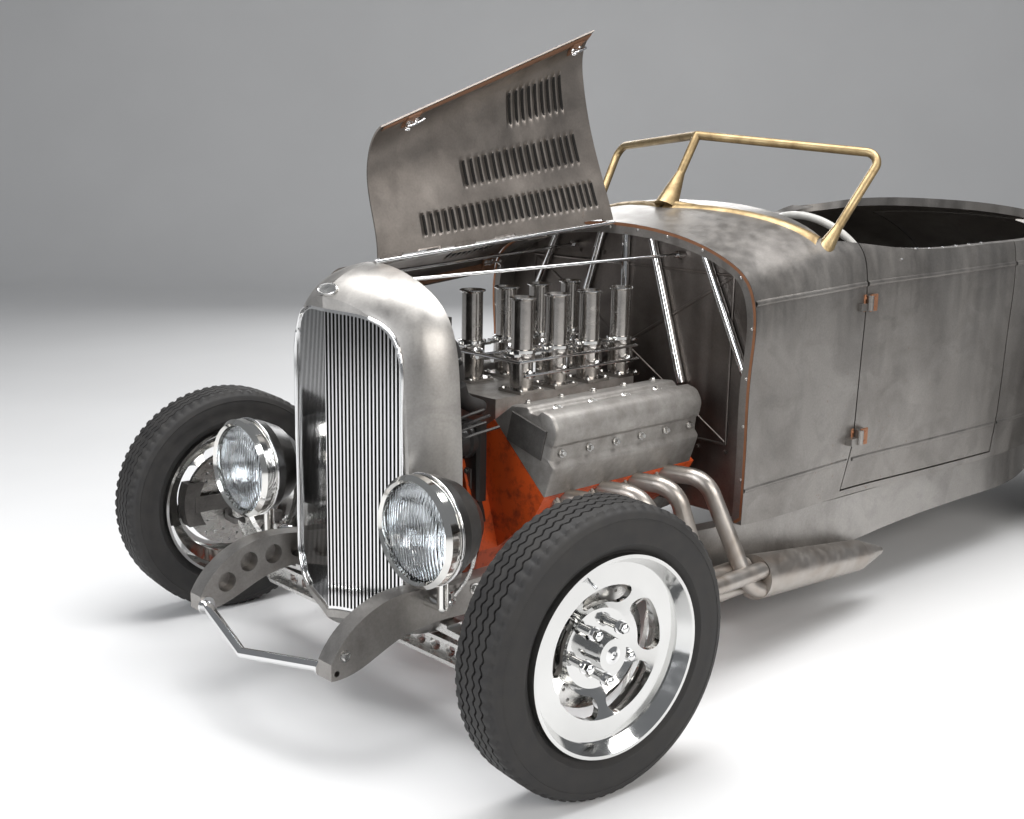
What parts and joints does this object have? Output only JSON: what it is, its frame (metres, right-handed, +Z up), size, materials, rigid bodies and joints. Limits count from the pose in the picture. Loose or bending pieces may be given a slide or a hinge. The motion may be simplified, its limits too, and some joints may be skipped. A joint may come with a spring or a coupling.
{
  "type": "street rod roadster",
  "caption": "Bare-metal fenderless street rod roadster with an open V8, individual intake stacks, drilled front axle and one hood half raised.",
  "frame": {"origin": "Bounding-box centre in X and Y, on the ground under the tyres in Z", "axes": "+X to the front of the car, +Y to its left, +Z up"},
  "size_m": [3.754, 1.64, 1.5697],
  "materials": {
    "body_steel": "bare rolled steel with rust and dark streaks, matte",
    "frame_steel": "bare rolled steel, brushed",
    "polished_steel": "polished",
    "polished_alloy": "polished",
    "cast_alloy": "raw sand-cast",
    "engine_orange": "gloss enamel",
    "iron": "machined and weathered",
    "brass_frame": "raw brazed, dull",
    "tyre_rubber": "matte",
    "lamp_glass": "clear, fluted",
    "wheel_grip": "pale grey, satin",
    "radiator_black": "satin black core"
  },
  "bodies": {
    "chassis": {"frame": "frame_steel", "front_spreader_bar": "polished_steel", "front_axle": "polished_steel", "front_suspension": "iron", "rear_axle": "iron", "gearbox": "cast_alloy", "driveshaft": "frame_steel", "engine_block": "engine_orange", "valve_covers": "cast_alloy", "intake_manifold": "cast_alloy", "intake_stacks": "polished_alloy", "exhaust_headers": "frame_steel", "grille_shell": "body_steel", "grille_insert": "polished_steel", "radiator": "radiator_black", "head_lamps": "frame_steel", "head_lamp_lenses": "lamp_glass", "firewall": "body_steel", "floor_pan": "body_steel", "engine_bay_braces": "polished_steel", "cowl": "body_steel", "rear_body": "body_steel", "windshield_frame": "brass_frame", "steering_column": "polished_steel", "hood_hinge_rod": "polished_steel", "fuel_tank": "frame_steel"},
    "knuckle_left": {"knuckle_left": "iron"},
    "knuckle_right": {"knuckle_right": "iron"},
    "tie_rod": {"tie_rod": "polished_steel"},
    "front_wheel_left": {"tyre_front_left": "tyre_rubber", "wheel_front_left": "polished_alloy", "brake_disc_front_left": "iron"},
    "front_wheel_right": {"tyre_front_right": "tyre_rubber", "wheel_front_right": "polished_alloy", "brake_disc_front_right": "iron"},
    "rear_wheel_left": {"tyre_rear_left": "tyre_rubber", "wheel_rear_left": "polished_alloy"},
    "rear_wheel_right": {"tyre_rear_right": "tyre_rubber", "wheel_rear_right": "polished_alloy"},
    "door_left": {"door_left": "body_steel"},
    "door_right": {"door_right": "body_steel"},
    "deck_lid": {"deck_lid": "body_steel"},
    "hood_left": {"hood_left": "body_steel"},
    "hood_right": {"hood_right": "body_steel"},
    "steering_wheel": {"steering_wheel": "wheel_grip"}
  },
  "joints": [
    {"name": "steer_left", "type": "hinge", "parent": "chassis", "child": "knuckle_left", "pos_m": [1.475, 0.632, 0.305], "axis": [0, 0, 1], "range_deg": [-23, 36]},
    {"name": "steer_right", "type": "hinge", "parent": "chassis", "child": "knuckle_right", "pos_m": [1.475, -0.632, 0.305], "axis": [0, 0, 1], "range_deg": [-23, 36]},
    {"name": "steering_wheel_turn", "type": "hinge", "parent": "chassis", "child": "steering_wheel", "pos_m": [0.083, 0.238, 0.952], "axis": [-0.8192, 0, 0.5736], "range_deg": [-276, 432]},
    {"name": "tie_rod_pivot", "type": "hinge", "parent": "knuckle_left", "child": "tie_rod", "pos_m": [1.36571, 0.64445, 0.214], "axis": [0, 0, 1], "range_deg": [-36, 23]},
    {"name": "front_spin_left", "type": "hinge", "parent": "knuckle_left", "child": "front_wheel_left", "pos_m": [1.48315, 0.70354, 0.305], "axis": [0.1132, 0.9936, 0], "continuous": true},
    {"name": "front_spin_right", "type": "hinge", "parent": "knuckle_right", "child": "front_wheel_right", "pos_m": [1.46685, -0.70354, 0.305], "axis": [0.1132, 0.9936, 0], "continuous": true},
    {"name": "rear_spin_left", "type": "hinge", "parent": "chassis", "child": "rear_wheel_left", "pos_m": [-1.217, 0.715, 0.36], "axis": [0, 1, 0], "continuous": true},
    {"name": "rear_spin_right", "type": "hinge", "parent": "chassis", "child": "rear_wheel_right", "pos_m": [-1.217, -0.715, 0.36], "axis": [0, 1, 0], "continuous": true},
    {"name": "door_left_swing", "type": "hinge", "parent": "chassis", "child": "door_left", "pos_m": [0.202, 0.499, 0.872], "axis": [0, 0, -1], "range_deg": [0, 65]},
    {"name": "door_right_swing", "type": "hinge", "parent": "chassis", "child": "door_right", "pos_m": [0.202, -0.499, 0.872], "axis": [0, 0, 1], "range_deg": [0, 65]},
    {"name": "deck_lid_lift", "type": "hinge", "parent": "chassis", "child": "deck_lid", "pos_m": [-1.147, 0, 1.07], "axis": [0, 1, 0], "range_deg": [0, 60]},
    {"name": "hood_left_fold", "type": "hinge", "parent": "chassis", "child": "hood_left", "pos_m": [1.49, 0, 1.014], "axis": [-0.9973, 0, 0.0731], "range_deg": [0, 115]},
    {"name": "hood_right_fold", "type": "hinge", "parent": "chassis", "child": "hood_right", "pos_m": [1.49, 0, 1.014], "axis": [-0.9973, 0, 0.0731], "range_deg": [0, 60]}
  ],
  "couplings": [
    {"joint": "steer_right", "follows": "steer_left", "ratio": 1},
    {"joint": "steering_wheel_turn", "follows": "steer_left", "ratio": 12},
    {"joint": "tie_rod_pivot", "follows": "steer_left", "ratio": -1}
  ]
}
